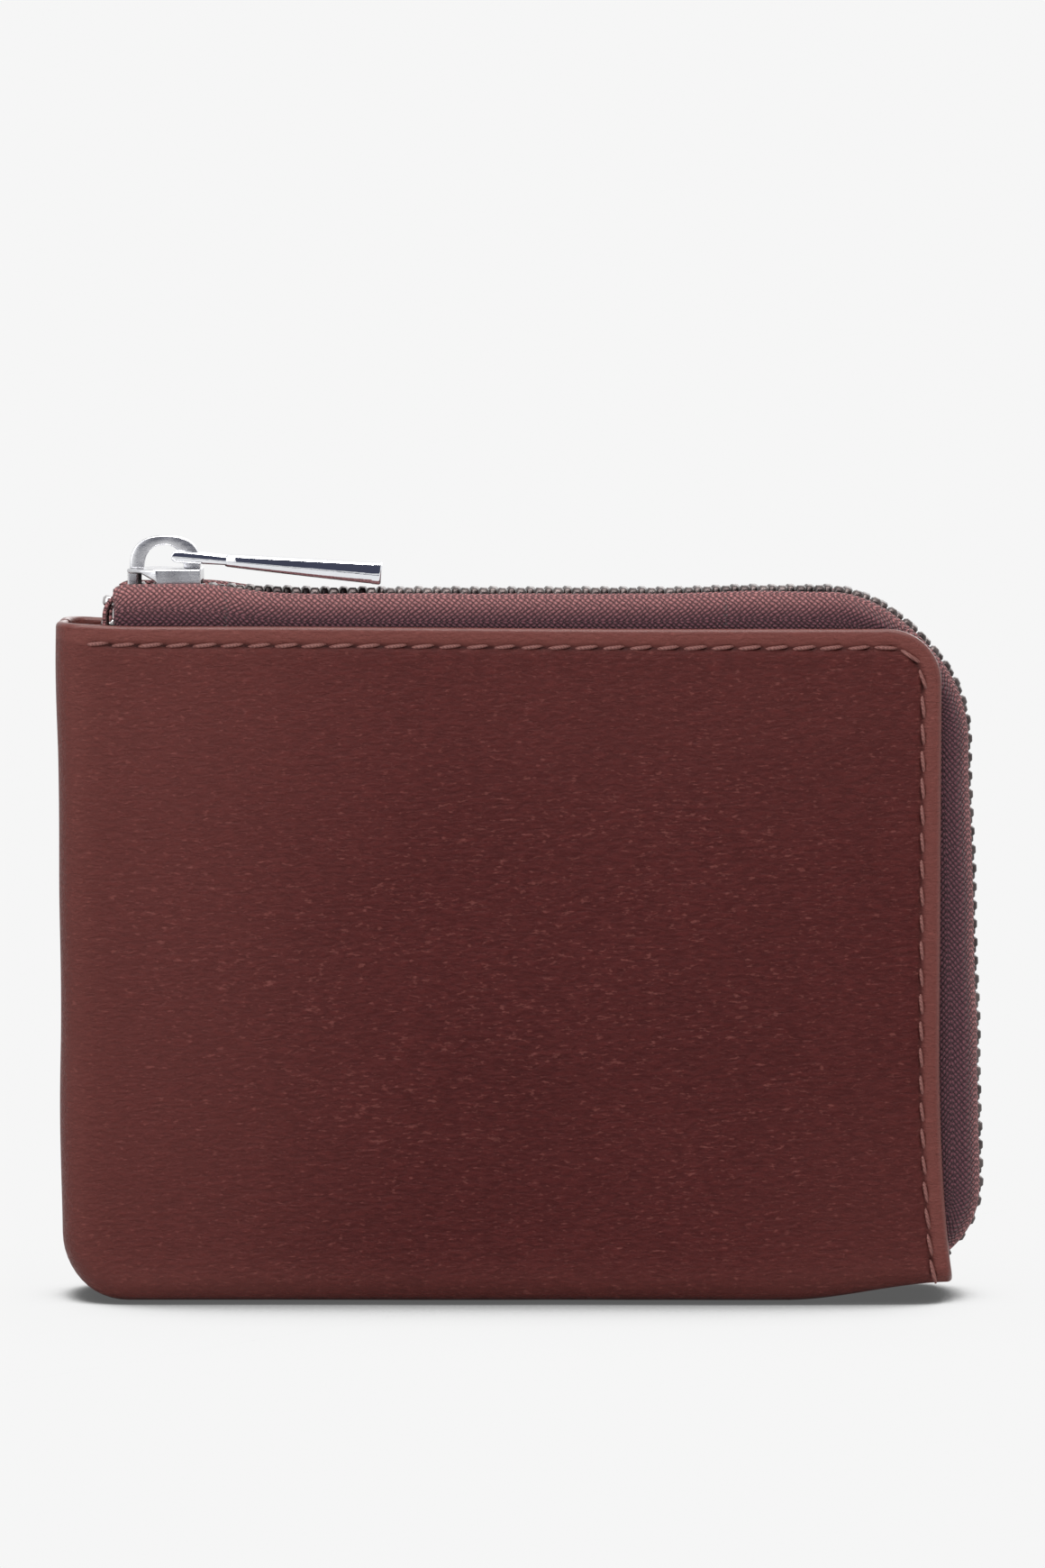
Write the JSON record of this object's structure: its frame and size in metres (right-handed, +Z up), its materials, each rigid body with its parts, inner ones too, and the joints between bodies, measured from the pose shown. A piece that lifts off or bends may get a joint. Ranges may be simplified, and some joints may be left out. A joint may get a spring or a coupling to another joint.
{
  "type": "zippered pouch",
  "caption": "Small flat leather pouch, closed by a metal zip along the top and one side, with a long pull bar, card pockets and a coin pocket inside.",
  "frame": {"origin": "centre of the bounding box's bottom, where the pouch stands", "axes": "+X along the width, from the sewn left side to the zip on the right; +Y from the front panel to the back panel; +Z up"},
  "size_m": [0.12, 0.0176, 0.0988],
  "materials": {
    "leather": "fine-grained, dyed burgundy brown, soft sheen",
    "tape": "woven reddish brown twill",
    "teeth": "darkened metal teeth",
    "slider": "satin grey metal",
    "pull": "polished metal",
    "thread": "waxed sewing thread",
    "lining": "plain dark lining cloth",
    "pocket": "thin smooth pocket leather"
  },
  "bodies": {
    "shell": {"front_panel": "leather", "back_panel": "leather", "front_lining": "lining", "back_lining": "lining", "seam_thread": "thread", "front_topstitch": "thread", "back_topstitch": "thread", "front_tape": "tape", "back_tape": "tape", "front_teeth_side": "teeth", "back_teeth_side": "teeth", "front_top_stop": "teeth", "back_top_stop": "teeth", "bottom_stop": "teeth", "card_backing": "pocket", "card_pocket_upper": "pocket", "card_pocket_middle": "pocket", "card_pocket_lower": "pocket", "coin_pocket_front": "pocket", "coin_pocket_back": "pocket", "coin_pocket_gusset": "lining"},
    "slider": {"slider_body": "slider", "slider_crown": "slider"},
    "pull": {"pull_tab": "pull"},
    "front_rim": {"front_teeth_top": "teeth"},
    "back_rim": {"back_teeth_top": "teeth"}
  },
  "joints": [
    {"name": "slider_run", "type": "slide", "parent": "shell", "child": "slider", "axis": [1, 0, 0], "range_m": [0, 0.08]},
    {"name": "pull_swing", "type": "hinge", "parent": "slider", "child": "pull", "pos_m": [-0.04445, 0, 0.0962], "axis": [0, -1, 0], "range_deg": [0, 165]},
    {"name": "front_rim_part", "type": "slide", "parent": "shell", "child": "front_rim", "axis": [0, -1, 0], "range_m": [0, 0.003], "deforming": ["front_teeth_top"]},
    {"name": "back_rim_part", "type": "slide", "parent": "shell", "child": "back_rim", "axis": [0, 1, 0], "range_m": [0, 0.003], "deforming": ["back_teeth_top"]}
  ],
  "couplings": [
    {"joint": "front_rim_part", "follows": "slider_run", "ratio": 0.0375},
    {"joint": "back_rim_part", "follows": "slider_run", "ratio": 0.0375}
  ]
}
